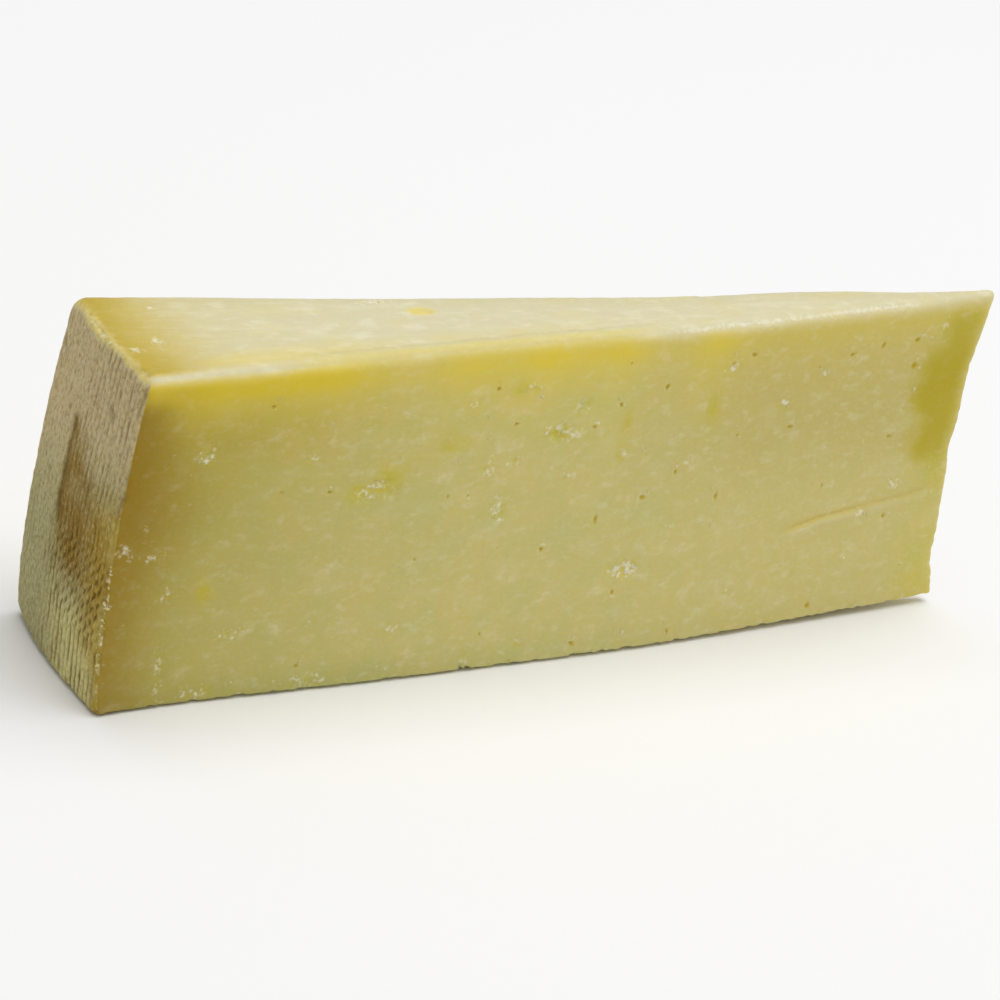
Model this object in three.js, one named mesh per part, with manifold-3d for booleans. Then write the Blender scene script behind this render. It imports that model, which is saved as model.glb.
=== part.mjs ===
// A wedge of hard mountain cheese, cut from a round wheel and standing on one flat cut face.
// Millimetres, +Z up. The rind of the wheel's rim faces -X, the wheel's centre lies at the point on +X,
// and the front cut face looks to -Y. The origin is the middle of the bounding box's base.
import * as THREE from "three";
import { mergeVertices } from "three/addons/utils/BufferGeometryUtils.js";
import Module from "manifold-3d";

const wasm = await Module();
wasm.setup();

// Driving dimensions
const WHEEL_RADIUS = 163; // from the rind to the wheel's centre
const RIM_HEIGHT = 55;
const RIM_WIDTH_TOP = 31.4;
const RIM_WIDTH_BASE = 34.1;
const POINT_HEIGHT = 59.3; // the wheel is a little thicker at its centre
const POINT_WIDTH = 2.5; // the point is blunt
const CRISP_RADIUS = 0.8; // of the edges round the rind and of the front face's foot
const SOFT_RADIUS = 2.2; // of the front face's top edge and the edges of the back face
const SOFT_FADE = 3; // power by which the soft edges fade into the crisp ones
const ROUND_SHARE = 0.8; // at the narrow point, the share of the half width that is rounded off

// How far the hand-cut piece strays from a true wedge
const RIM_LEAN = 2; // the rind's foot stands out from its top edge
const RIM_BARREL = 1.3; // and the rind swells at mid height
const CORNER_WORN = 0.6; // the back corner of its foot is worn off by this much
const WORN_FADE = 16; // power by which that fades up the rind
const POINT_LEAN = 2; // the point's foot stands out from its top
const POINT_HOLLOW = 2.5; // and the point bows in at mid height
const POINT_LIFT = 1.3; // the base curves up under the point
const LIFT_START = 0.45; // share of the length where that begins
const FRONT_BULGE = 2.7; // the front face's foot bows out at mid length
const FRONT_FLARE = 1.6; // and stands out by the rind
const FLARE_FADE = 14; // power by which that fades along the length
const BACK_SWELL = 1.7; // the back face swells near the point
const SWELL_START = 0.6; // share of the length where that begins
const TOP_DIP = 0.5; // the top sinks at mid length
const FOOT_RISE = 0.2; // the base's borders stand this much clear of the flat foot in its middle
const FOOT_START = 0.015; // shares of the length where the foot starts and ends
const FOOT_END = 0.6;
const FOOT_SHARE = 0.86; // and of the width that it takes
const KNIFE_WAVE = 0.22; // height of the slow waves in a cut face
const LONG_WAVE = 21; // their lengths, divided by a full turn
const SHORT_WAVE = 9;

// Steps of the faces along the length, the width and the height
const LENGTH_STEPS = 36;
const WIDTH_STEPS = 8;
const HEIGHT_STEPS = 14;

// Eyes in the front face: distance from the rind, height above the base, width and height of each
const FRONT_EYES = [
  [22.8, 48.9, 1.2, 1.1],
  [36.1, 33.9, 1.2, 0.9],
  [63.5, 49.0, 1.0, 1.0],
  [68.6, 42.7, 1.1, 0.8],
  [84.1, 41.0, 1.1, 0.9],
  [88.5, 44.4, 0.9, 1.2],
  [96.9, 46.9, 0.9, 1.5],
  [109.1, 50.0, 1.7, 1.8],
  [113.2, 51.4, 1.4, 0.9],
  [134.3, 50.1, 1.8, 0.9],
  [140.8, 51.4, 0.8, 1.4],
  [148.1, 51.6, 1.2, 1.2],
  [149.1, 46.8, 2.0, 1.6],
  [124.8, 37.9, 1.4, 0.9],
  [111.8, 26.5, 1.1, 1.6],
  [102.4, 31.6, 0.8, 1.4],
  [96.5, 27.7, 1.8, 1.1],
  [87.8, 24.7, 0.9, 1.5],
  [149.6, 18.7, 1.3, 1.4],
  [147.4, 34.1, 1.3, 0.9],
  [134.7, 3.4, 1.4, 1.2],
  [77.8, 20.4, 1.4, 1.0],
  [92.8, 11.2, 0.9, 1.7],
  [85.3, 2.9, 1.4, 0.9],
  [104.5, 2.7, 0.9, 1.7],
  [34.1, 4.6, 1.2, 0.9],
];
const EYE_DEPTH = 0.8;
const EYE_SIDES = 8;
const EYE_RINGS = 6;

// Shallow torn patches in the front face, in the same terms, and how deep they go
const TORN_PATCHES = [
  [94.7, 15.0, 5.2, 2.8],
  [44.2, 33.7, 8.4, 3.6],
  [77.4, 40.7, 5.0, 2.6],
];
const TORN_DEPTH = 0.35;

// A shallow pit in the top: distance from the rind, distance from the middle line, length and width
const TOP_PIT = [55.0, 4.1, 4.2, 3.0];

// Eyes scattered over the back face, which is cut the same way
const SCATTER_SEED = 7;
const BACK_EYES = 18;
const EYE_SMALLEST = 0.9;
const EYE_LARGEST = 1.8;
const SCATTER_MARGIN = 0.07; // share of a face left free along its edges

// Chips out of the front face's foot, at these distances from the rind
const FOOT_CHIPS = [9.4, 30.5, 65.3, 74.3, 118];
const CHIP_LENGTH = 2.8;
const CHIP_SIZE = 1.6;

// A crack that runs up the front face to the point: distance from the rind and height of its bends
const CRACK = [
  [126.5, 18.1],
  [134.9, 19.9],
  [141.7, 20.7],
  [145.8, 21.3],
  [153.1, 22.1],
  [159, 23.1],
];
const CRACK_RADIUS = 0.55;
const CRACK_STEPS = 16;

// A fold that the cloth pressed into the rind: distance from the middle of the rim, and height
const RIND_FOLD = [
  [3.2, 43],
  [3.5, 40],
  [3.7, 33],
  [3.8, 26.5],
  [2.8, 20.5],
  [0.6, 14],
  [-0.4, 10],
];
const FOLD_RADIUS = 0.7;
const FOLD_STEPS = 12;
const GROOVE_SIDES = 6;

const SMALL_STEP = 1e-3; // step for the direction of a face, as a share of it
const MERGE_DISTANCE = 1e-4;

const hump = (share) => 4 * share * (1 - share);
const from = (start, share) => THREE.MathUtils.clamp((share - start) / (1 - start), 0, 1);

// Height of the top above the base, at a share of the length from rind to point
const topAt = (u) => THREE.MathUtils.lerp(RIM_HEIGHT, POINT_HEIGHT, u) - TOP_DIP * hump(u);
const baseAt = (u) => FOOT_RISE + POINT_LIFT * from(LIFT_START, u) ** 2;
const rimWidth = (w) => THREE.MathUtils.lerp(RIM_WIDTH_BASE, RIM_WIDTH_TOP, w);
const halfWidth = (u, w) => THREE.MathUtils.lerp(rimWidth(w), POINT_WIDTH, u) / 2;

// Slow waves left by the knife, at two distances measured along a face
function knifeWave(s, t) {
  const slow = Math.sin(s / LONG_WAVE + t / SHORT_WAVE);
  const quick = Math.sin(s / SHORT_WAVE - t / LONG_WAVE);
  return (KNIFE_WAVE * (slow + quick)) / 2;
}

// A place in the chunk: u runs from rind to point, v from front to back (-1 to 1), w from base to top.
function place(u, v, w) {
  const half = halfWidth(u, w);
  const sagitta = rimWidth(w) ** 2 / 8 / WHEEL_RADIUS;
  const worn = CORNER_WORN * Math.max(v, 0) ** 2 * (1 - w) ** WORN_FADE;
  const rim = sagitta * v * v + worn - RIM_LEAN * (1 - w) - RIM_BARREL * hump(w);
  const point = WHEEL_RADIUS + POINT_LEAN * (1 - w) - POINT_HOLLOW * hump(w);
  const x = THREE.MathUtils.lerp(rim, point, u);
  const z = THREE.MathUtils.lerp(baseAt(u), topAt(u) + w * knifeWave(x, half * v), w);
  const stray = FRONT_BULGE * hump(u) + FRONT_FLARE * (1 - u) ** FLARE_FADE;
  const front = -half - stray * (1 - w) + knifeWave(x, z);
  const back = half + BACK_SWELL * hump(from(SWELL_START, u)) ** 2 + knifeWave(z, x);
  return new THREE.Vector3(x, THREE.MathUtils.lerp(front, back, (v + 1) / 2), z);
}

// A grid line's distance from the middle of a side. The lines next to an edge lie where its rounding starts.
function gridLine(share, steps, half, radius) {
  const line = Math.round(((share + 1) / 2) * steps);
  if (line === 0 || line === steps) return share < 0 ? -half : half;
  return THREE.MathUtils.lerp(radius - half, half - radius, (line - 1) / (steps - 2));
}

// Radius of the edges round a place on the box, at its shares (-1 to 1) of the width and the height
function edgeRadius(across, up) {
  const topFront = Math.max(-across, 0) * Math.max(up, 0);
  const soft = Math.max(topFront, across, 0) ** SOFT_FADE;
  return THREE.MathUtils.lerp(CRISP_RADIUS, SOFT_RADIUS, soft);
}

// Moves a point of a box's surface so that the box has round edges of this radius.
function roundOff(point, half, radius) {
  const inner = half.clone().subScalar(radius);
  const core = point.clone().clamp(inner.clone().negate(), inner);
  const offset = point.clone().sub(core);
  return core.add(offset.setLength(Math.min(offset.length(), radius)));
}

// The chunk with its round edges, before eyes, cracks and chips
function chunkGeometry() {
  const geometry = new THREE.BoxGeometry(2, 2, 2, LENGTH_STEPS, WIDTH_STEPS, HEIGHT_STEPS);
  const position = geometry.getAttribute("position");
  const share = new THREE.Vector3();
  for (let i = 0; i < position.count; i++) {
    share.fromBufferAttribute(position, i);
    const half = new THREE.Vector3(WHEEL_RADIUS / 2, 0, RIM_HEIGHT / 2);
    const wanted = edgeRadius(share.y, share.z);
    const x = gridLine(share.x, LENGTH_STEPS, half.x, wanted);
    const z = gridLine(share.z, HEIGHT_STEPS, half.z, wanted);
    half.y = halfWidth((x / half.x + 1) / 2, (z / half.z + 1) / 2);
    const radius = Math.min(wanted, ROUND_SHARE * half.y);
    const y = gridLine(share.y, WIDTH_STEPS, half.y, radius);
    const round = roundOff(new THREE.Vector3(x, y, z), half, radius).divide(half);
    const seat = place((round.x + 1) / 2, round.y, (round.z + 1) / 2);
    position.setXYZ(i, seat.x, seat.y, seat.z);
  }
  return geometry;
}

// The flat foot in the middle of the base, a thin plate with four corners
function footGeometry() {
  const corners = [
    [FOOT_START, -FOOT_SHARE],
    [FOOT_END, -FOOT_SHARE],
    [FOOT_END, FOOT_SHARE],
    [FOOT_START, FOOT_SHARE],
  ].map(([u, v]) => place(u, v, 0));
  const outline = new THREE.Shape(corners.map((corner) => new THREE.Vector2(corner.x, corner.y)));
  return new THREE.ExtrudeGeometry(outline, { depth: FOOT_RISE + POINT_LIFT, bevelEnabled: false });
}

// A seat on a face: its first axis runs along the face, its second across and its third out of it.
function seatOn(face, s, t) {
  const origin = face(s, t);
  const along = face(s + SMALL_STEP, t).sub(origin).normalize();
  const across = face(s, t + SMALL_STEP).sub(origin).normalize();
  const out = new THREE.Vector3().crossVectors(along, across).normalize();
  return new THREE.Matrix4().makeBasis(along, across, out).setPosition(origin);
}

const frontFace = (u, w) => place(u, -1, w);
const backFace = (u, w) => place(u, 1, w);
const topFace = (u, across) => place(u, 2 * across - 1, 1);
const rimFace = (across, w) => place(0, across, w);

// Shares of the front face's length and height at a distance from the rind and a height above the base
function onFront([along, up]) {
  const u = along / WHEEL_RADIUS;
  return [u, THREE.MathUtils.mapLinear(up, baseAt(u), topAt(u), 0, 1)];
}

// Shares of the top's length and width at a distance from the rind and a distance from its middle line
function onTop([along, across]) {
  const u = along / WHEEL_RADIUS;
  return [u, (across / halfWidth(u, 1) + 1) / 2];
}

// Shares of the rim's width and height at a distance from its middle and a height above the base
function onRim([across, up]) {
  const w = up / RIM_HEIGHT;
  return [(2 * across) / rimWidth(w), w];
}

// An egg-shaped hollow sunk in a face
function hollow(seat, width, height, depth) {
  const egg = new THREE.SphereGeometry(1, EYE_SIDES, EYE_RINGS);
  egg.scale(width / 2, height / 2, depth);
  return egg.applyMatrix4(seat);
}

// A shallow groove along a curve on a face, which runs out of the face at both ends
function groove(points, out, radius, steps) {
  const last = points.length - 1;
  const bends = points.map((point, i) => {
    const end = i === 0 || i === last;
    return point.clone().addScaledVector(out, end ? radius : radius / 3);
  });
  const outline = new THREE.EllipseCurve(0, 0, radius, radius).getPoints(GROOVE_SIDES);
  const section = new THREE.Shape(outline.slice(1));
  const extrudePath = new THREE.CatmullRomCurve3(bends);
  return new THREE.ExtrudeGeometry(section, { extrudePath, steps, bevelEnabled: false });
}

// Evenly spread numbers from 0 to 1, the same in each run
function* scatter(seed) {
  const modulus = 2147483647;
  const multiplier = 16807;
  for (let state = seed; ; ) {
    state = (state * multiplier) % modulus;
    yield state / modulus;
  }
}

// Eyes at scattered places of a face
function scatteredEyes(face, count) {
  const draws = scatter(SCATTER_SEED);
  const draw = (low, high) => THREE.MathUtils.lerp(low, high, draws.next().value);
  return Array.from({ length: count }, () => {
    const along = draw(SCATTER_MARGIN, 1 - SCATTER_MARGIN);
    const across = draw(SCATTER_MARGIN, 1 - SCATTER_MARGIN);
    const width = draw(EYE_SMALLEST, EYE_LARGEST);
    const height = draw(EYE_SMALLEST, EYE_LARGEST);
    return hollow(seatOn(face, along, across), width, height, EYE_DEPTH);
  });
}

function hollows() {
  const front = ([along, up, width, height], depth) =>
    hollow(seatOn(frontFace, ...onFront([along, up])), width, height, depth);
  const [along, across, length, width] = TOP_PIT;
  return [
    ...FRONT_EYES.map((eye) => front(eye, EYE_DEPTH)),
    ...TORN_PATCHES.map((patch) => front(patch, TORN_DEPTH)),
    ...FOOT_CHIPS.map((chip) => front([chip, 0, CHIP_LENGTH, CHIP_SIZE], CHIP_SIZE / 2)),
    ...scatteredEyes(backFace, BACK_EYES),
    hollow(seatOn(topFace, ...onTop([along, across])), length, width, TORN_DEPTH),
  ];
}

function grooves() {
  const crack = CRACK.map((bend) => frontFace(...onFront(bend)));
  const fold = RIND_FOLD.map((bend) => rimFace(...onRim(bend)));
  return [
    groove(crack, new THREE.Vector3(0, -1, 0), CRACK_RADIUS, CRACK_STEPS),
    groove(fold, new THREE.Vector3(-1, 0, 0), FOLD_RADIUS, FOLD_STEPS),
  ];
}

function toSolid(geometry) {
  const bare = geometry.clone();
  bare.deleteAttribute("normal");
  bare.deleteAttribute("uv");
  const merged = mergeVertices(bare, MERGE_DISTANCE);
  const vertProperties = new Float32Array(merged.getAttribute("position").array);
  const triVerts = new Uint32Array(merged.index.array);
  return new wasm.Manifold(new wasm.Mesh({ numProp: 3, vertProperties, triVerts }));
}

function toGeometry(solid) {
  const mesh = solid.getMesh();
  const geometry = new THREE.BufferGeometry();
  geometry.setAttribute("position", new THREE.BufferAttribute(mesh.vertProperties, 3));
  geometry.setIndex(new THREE.BufferAttribute(mesh.triVerts, 1));
  geometry.computeVertexNormals();
  return geometry;
}

// Sets a geometry down with the middle of its bounding box's base at the origin.
function setDown(geometry) {
  geometry.computeBoundingBox();
  const middle = geometry.boundingBox.getCenter(new THREE.Vector3());
  return geometry.translate(-middle.x, -middle.y, -geometry.boundingBox.min.z);
}

function cheeseChunk() {
  const cuts = [...hollows(), ...grooves()].map(toSolid);
  const blank = toSolid(chunkGeometry()).add(toSolid(footGeometry()));
  const solid = cuts.reduce((whole, cut) => whole.subtract(cut), blank);
  const paste = new THREE.MeshStandardMaterial({ color: 0xbcae6c, roughness: 0.55, metalness: 0 });
  const mesh = new THREE.Mesh(setDown(toGeometry(solid)), paste);
  mesh.name = "cheese_chunk";
  return mesh;
}

const chunk = new THREE.Group();
chunk.add(cheeseChunk());

export default chunk;
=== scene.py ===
"""Looks of a wedge of hard mountain cheese, cut from a round wheel and standing on a flat cut face.

The fine mesh has the solid's own shape, worked out from the same sizes in millimetres, and the relief that
the solid is too coarse for: cloth marks in the rind, torn borders round the eyes, slits and crumbly edges.
Masks on its points tell the material where the rind is, where the paste changes colour and where glow, shade
and highlights are painted on it. The crumbs that stick to the chunk are a second mesh, seated on the first.
"""
import math

import bmesh
import bpy
import numpy as np
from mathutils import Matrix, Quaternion, Vector, noise
from mathutils.bvhtree import BVHTree


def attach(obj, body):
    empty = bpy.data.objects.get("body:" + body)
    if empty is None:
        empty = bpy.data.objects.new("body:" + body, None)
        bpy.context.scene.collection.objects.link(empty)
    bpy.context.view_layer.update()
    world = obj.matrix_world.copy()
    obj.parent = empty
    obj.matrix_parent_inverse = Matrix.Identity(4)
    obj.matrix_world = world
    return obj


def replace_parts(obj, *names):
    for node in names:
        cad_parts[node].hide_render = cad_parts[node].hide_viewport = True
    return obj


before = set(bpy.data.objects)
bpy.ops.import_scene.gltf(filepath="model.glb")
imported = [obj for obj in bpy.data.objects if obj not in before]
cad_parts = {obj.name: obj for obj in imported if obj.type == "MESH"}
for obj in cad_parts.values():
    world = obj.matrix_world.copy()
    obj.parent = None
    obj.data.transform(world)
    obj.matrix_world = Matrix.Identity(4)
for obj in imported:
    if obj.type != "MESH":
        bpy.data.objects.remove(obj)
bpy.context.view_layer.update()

MM = 0.001

# Driving dimensions of the chunk, in millimetres
WHEEL_RADIUS = 163.0
RIM_HEIGHT = 55.0
RIM_WIDTH_TOP = 31.4
RIM_WIDTH_BASE = 34.1
POINT_HEIGHT = 59.3
POINT_WIDTH = 2.5
CRISP_RADIUS = 0.8
SOFT_RADIUS = 2.2
SOFT_FADE = 3
ROUND_SHARE = 0.8

# How far the hand-cut piece strays from a true wedge
RIM_LEAN = 2.0
RIM_BARREL = 1.3
CORNER_WORN = 0.6
WORN_FADE = 16
POINT_LEAN = 2.0
POINT_HOLLOW = 2.5
POINT_LIFT = 1.3
LIFT_START = 0.45
FRONT_BULGE = 2.7
FRONT_FLARE = 1.6
FLARE_FADE = 14
BACK_SWELL = 1.7
SWELL_START = 0.6
TOP_DIP = 0.5
FOOT_RISE = 0.2
KNIFE_WAVE = 0.22
LONG_WAVE = 21.0
SHORT_WAVE = 9.0

# Sides of the chunk: the lattice axis that each crosses, and the end of it
SIDES = {"rim": (0, 0), "point": (0, 1), "front": (1, 0), "back": (1, 1), "base": (2, 0), "top": (2, 1)}
NUMBER = {name: number for number, name in enumerate(SIDES)}
# Cells of the lattice along the length, the width and the height, each a little over a millimetre
CELLS = np.array([136, 28, 48])

# Eyes in the front face: distance from the rind, height above the base, width and height of each
FRONT_EYES = [
    (22.8, 48.9, 1.2, 1.1), (36.1, 33.9, 1.2, 0.9), (63.5, 49.0, 1.0, 1.0), (68.6, 42.7, 1.1, 0.8),
    (84.1, 41.0, 1.1, 0.9), (88.5, 44.4, 0.9, 1.2), (96.9, 46.9, 0.9, 1.5), (109.1, 50.0, 1.7, 1.8),
    (113.2, 51.4, 1.4, 0.9), (134.3, 50.1, 1.8, 0.9), (140.8, 51.4, 0.8, 1.4), (148.1, 51.6, 1.2, 1.2),
    (149.1, 46.8, 2.0, 1.6), (124.8, 37.9, 1.4, 0.9), (111.8, 26.5, 1.1, 1.6), (102.4, 31.6, 0.8, 1.4),
    (96.5, 27.7, 1.8, 1.1), (87.8, 24.7, 0.9, 1.5), (149.6, 18.7, 1.3, 1.4), (147.4, 34.1, 1.3, 0.9),
    (134.7, 3.4, 1.4, 1.2), (77.8, 20.4, 1.4, 1.0), (92.8, 11.2, 0.9, 1.7), (85.3, 2.9, 1.4, 0.9),
    (104.5, 2.7, 0.9, 1.7), (34.1, 4.6, 1.2, 0.9),
]
EYE_DEPTH = 0.3

# Slits and pinholes in the front face, in the same terms
SLITS = [
    (113.7, 37.3, 0.7, 0.7), (88.3, 51.6, 0.5, 0.5), (127.8, 48.3, 0.6, 0.5), (27.4, 34.6, 1.0, 0.5),
    (58.0, 31.4, 0.6, 1.3), (61.8, 31.2, 0.5, 0.7), (53.5, 21.1, 0.8, 0.6), (69.1, 21.5, 0.5, 0.5),
    (67.4, 6.6, 0.5, 0.8), (134.6, 26.2, 0.5, 1.2),
]
SLIT_DEPTH = 0.2

# Shallow torn patches in the front face, in the same terms
TORN_PATCHES = [
    (94.7, 15.0, 5.2, 2.8),
    (44.2, 33.7, 8.4, 3.6),
    (77.4, 40.7, 5.0, 2.6),
]
TORN_DEPTH = 0.35
# How white the broken paste in each of them is
TORN_WHITE = [0.8, 0.55, 0.7]

# Small clusters of pale flakes on the front face, in the same terms
FLAKES = [
    (122.2, 42.1, 2.6, 2.0), (81.1, 44.7, 3.2, 2.4), (68.1, 28.2, 2.4, 5.0), (80.9, 32.8, 3.6, 1.0),
    (90.5, 35.7, 2.4, 2.0), (144.5, 20.2, 2.4, 1.4), (1.4, 27.5, 3.0, 2.2), (60.0, 46.8, 2.4, 1.4),
    (69.8, 48.6, 3.4, 1.2), (109.6, 49.6, 2.6, 2.2), (74.9, 41.0, 2.2, 2.0), (-0.3, 18.6, 1.8, 3.0),
]
# Fainter ones, in the same terms
FAINT_FLAKES = [
    (69.3, 36.5, 2.6, 1.8), (64.9, 35.4, 2.6, 3.0), (79.9, 40.2, 4.4, 2.4), (153.5, 54.5, 1.6, 2.4),
    (104.5, 33.4, 1.8, 1.6), (4.4, 26.2, 4.0, 1.2), (12.8, 41.6, 3.2, 2.8), (7.4, 26.0, 3.0, 2.0),
    (50.0, 9.6, 2.8, 1.8), (141.5, 12.0, 2.6, 1.6), (22.0, 11.4, 4.4, 2.0), (10.2, 19.0, 2.4, 2.4),
    (32.0, 39.6, 1.8, 1.8), (151.0, 25.0, 4.0, 2.6), (144.0, 2.2, 2.4, 1.6), (10.2, 6.0, 1.8, 9.5),
    (17.0, 1.9, 6.0, 1.8), (36.5, 2.2, 7.0, 2.6), (64.8, 2.2, 1.4, 3.6), (74.8, 4.0, 1.6, 2.4),
]
FLAKES_PER_AREA = 0.5
FAINT_PER_AREA = 0.25
FLAKES_IN_BRIGHTEST = 30

# Single pale crumbs on the front face: distance from the rind, height and width of each
CRUMBS = [
    (4.8, 31.1, 1.2), (35.9, 12.0, 1.6), (62.8, 44.2, 0.8), (71.8, 46.8, 1.2), (63.7, 40.9, 1.4),
    (59.2, 37.2, 0.9), (47.8, 38.6, 1.0), (69.0, 1.2, 1.3), (95.2, 36.6, 1.1), (94.0, 42.7, 1.4),
    (100.0, 14.9, 0.7), (103.3, 22.0, 1.2), (111.8, 21.2, 1.2), (116.6, 8.6, 1.0), (93.7, 3.8, 0.8),
    (95.2, 3.8, 0.8), (116.0, 1.2, 0.9), (129.2, 47.1, 1.8), (142.4, 30.5, 1.2), (141.6, 33.8, 0.9),
    (146.3, 19.0, 1.0), (150.7, 42.5, 0.6), (151.8, 51.6, 1.3), (130.2, 10.1, 1.2), (155.5, 8.4, 1.2),
    (158.3, 27.0, 0.8),
]
CRUMB_SMALLEST = 0.25
CRUMB_LARGEST = 0.7
CRUMB_LOWEST = 1.3
CRUMB_SEED = 5
# Crumbs along the foot of the front face: how many, and the oval that they lie in
FOOT_CRUMBS = 30
FOOT_OVAL = (34.0, 2.2, 52.0, 2.6)
# Crumbs along the rind's top border, and as many along its front border up to this height
BORDER_CRUMBS = 22
BORDER_TOP = 28.0

# Yellow spots in the front and back faces, in the eyes' terms
YELLOW_SPOTS = [
    (41.0, 33.2, 3.6, 3.6), (46.0, 35.8, 5.0, 4.0), (57.2, 40.0, 5.0, 3.0), (68.0, 48.4, 3.4, 2.2),
    (77.0, 40.6, 4.0, 2.2), (90.6, 41.3, 2.0, 5.0), (107.4, 42.2, 3.0, 4.4), (16.6, 18.9, 2.6, 3.6),
]

# Yellow along the front and back faces' top edges, partly stains and partly painted glow through the edge:
# distance from the rind, half length, strength
YELLOW_EDGE_STAINS_AND_GLOW = [
    (8.0, 12.0, 0.9), (25.0, 12.0, 0.45), (36.0, 10.0, 0.3), (57.0, 7.0, 0.35), (72.0, 9.0, 0.5),
    (86.0, 6.0, 0.4), (105.0, 5.0, 0.35),
]

# A shallow pit in the top: distance from the rind, distance from the middle line, length and width
TOP_PIT = (55.0, 4.1, 4.2, 3.0)

# Clusters of pale flakes on the top, in the same terms
TOP_FLAKES = [(48.7, 8.4, 5.0, 1.6), (7.0, -3.2, 1.8, 2.4), (2.5, -5.8, 1.6, 1.4), (10.5, 9.0, 1.6, 1.2)]

# Chips out of the front face's foot, at these distances from the rind
FOOT_CHIPS = [9.4, 30.5, 65.3, 74.3, 118.0]
CHIP_LENGTH = 2.8
CHIP_SIZE = 1.6

# Eyes scattered over the back face, which is cut the same way
SCATTER_SEED = 7
BACK_EYES = 18
EYE_SMALLEST = 0.9
EYE_LARGEST = 1.8
SCATTER_MARGIN = 0.07

# A crack that runs up the front face to the point: distance from the rind and height of its bends
CRACK = [(126.5, 18.1), (134.9, 19.9), (141.7, 20.7), (145.8, 21.3), (153.1, 22.1), (159.0, 23.1)]
CRACK_DEPTH = 0.22
CRACK_HALF_WIDTH = 0.45

# Shallow notches in the edge of the point: height, depth and half height of each, and how far they fade
POINT_NOTCHES = [(44.0, 0.4, 5.0), (30.5, 0.65, 3.0), (9.0, 0.55, 2.5)]
NOTCH_FADE = 5.0

# Left border of the dark olive band at the point, partly painted shade and painted glow: distance from the
# rind at these heights
BAND_HEIGHTS = (20.0, 24.5, 28.0, 31.0, 36.5, 39.0, 46.0, 48.5, 56.0)
BAND_BORDER = (162.0, 158.0, 156.5, 153.0, 154.3, 151.6, 151.6, 153.5, 155.0)

# A fold that the cloth pressed into the rind: distance from the middle of the rim, and height
RIND_FOLD = [
    (3.0, 60.0), (3.2, 43.0), (3.5, 40.0), (3.7, 33.0), (3.8, 26.5), (2.8, 20.5), (0.6, 14.0),
    (-0.4, 10.0), (-1.6, -2.0),
]
FOLD_DEPTH = 0.6
FOLD_HALF_WIDTH = 0.7
THREAD_PITCH = 1.45
THREAD_HEIGHT = 0.3
DASH_LENGTH = 2.3
DASH_LEAN = 0.5
DASH_STEP = 0.3

# Camera: its place in the frame of the shape above, and its angles in degrees
CAMERA_AT = Vector((-212.17, -457.42, 261.92))
CAMERA_AZIMUTH = -32.008
CAMERA_ELEVATION = 23.802
CAMERA_ROLL = 11.261
CAMERA_LENS = 130.7
CAMERA_SENSOR = 36.0

# Axes of a place that span the front and back faces, the top and the rim
FACE_AXES = (0, 2)
TOP_AXES = (0, 1)
RIM_AXES = (1, 2)

# Where the lattice is divided: share of the top's length, and width along the edges
BROAD_SHARE = 0.65
EDGE_WIDTH = 1.6

# Pairs of sides whose edge crumbles, and how deep
CRUMBLY_EDGES = [
    ("front", "base", 0.4), ("rim", "front", 0.5), ("rim", "top", 0.5), ("back", "base", 0.4),
    ("rim", "back", 0.4), ("rim", "base", 0.4), ("front", "point", 0.3),
]

# Dark pits in the rind: distance from the middle of the rim, and height
RIND_PITS = [
    (-0.9, 13.8), (-3.0, 23.3), (-7.5, 46.5), (-8.6, 45.6), (13.2, 48.3), (-12.2, 10.0), (-11.4, 13.0),
]
RIND_PIT_SIZE = (1.4, 2.2)
RIND_PIT_DEPTH = 0.2

# Heights of the finest relief
GRAIN_HEIGHT = 0.09
EYE_BORDER_HEIGHT = 0.1
FLAKE_HEIGHT = 0.25
CLOT_HEIGHT = 0.15
LIP_HEIGHT = 0.2
LUMP_HEIGHT = 0.15
RIND_GRAIN_HEIGHT = 0.1

# How white the crumbs are: mostly, in the brightest torn patch, in faint clusters and along the foot
CRUMB_WHITE = 0.45
BRIGHTEST_WHITE = 1.6
FAINT_WHITE = 0.3
FOOT_WHITE = 0.4
# Crumbs on the front face are darker by the rind: how much, and the distance over which that fades
CRUMB_SHADE = 0.5
CRUMB_SHADE_REACH = 25

# Lower left corner of each side's picture on the flat map, and the map's size
MAP_PLACES = {
    "front": (1, 1), "back": (1, 60), "top": (1, 119), "base": (1, 155), "rim": (168, 1), "point": (168, 60),
}
MAP_SIZE = 204.0

# Light, floor and surroundings, in metres and watts
KEY_AT = Vector((0.35, -0.1, 2.0))
KEY_TARGET = Vector((0, 0, 0.03))
KEY_SIZE = 2.0
KEY_POWER = 32
WORLD_STRENGTH = 0.4
FLOOR_REACH = 3.0
FLOOR_DROP = 0.05 * MM
FLOOR_COLOUR = (0.96, 0.96, 0.96, 1)
FLOOR_ROUGHNESS = 0.9


def smooth(low, high, value):
    """Smooth step from 0 at low to 1 at high; low may be the larger."""
    share = np.clip((value - low) / (high - low), 0, 1)
    return share * share * (3 - 2 * share)


def lerp(low, high, share):
    return low + (high - low) * share


def hump(share):
    return 4 * share * (1 - share)


def bell(value, middle, half):
    """1 at the middle, falling off to both sides over about this half width."""
    return np.exp(-((value - middle) / half) ** 2)


def past(start, share):
    return np.clip((share - start) / (1 - start), 0, 1)


def perlin(points, size, seed=0):
    """Noise from -1 to 1 with features about this many millimetres across."""
    spots = points / size + 17.3 * seed
    return np.array([noise.noise(spot) for spot in spots.tolist()])


# The chunk's shape

def top_at(u):
    return lerp(RIM_HEIGHT, POINT_HEIGHT, u) - TOP_DIP * hump(u)


def base_at(u):
    return FOOT_RISE + POINT_LIFT * past(LIFT_START, u) ** 2


def rim_width(w):
    return lerp(RIM_WIDTH_BASE, RIM_WIDTH_TOP, w)


def half_width(u, w):
    return lerp(rim_width(w), POINT_WIDTH, u) / 2


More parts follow.
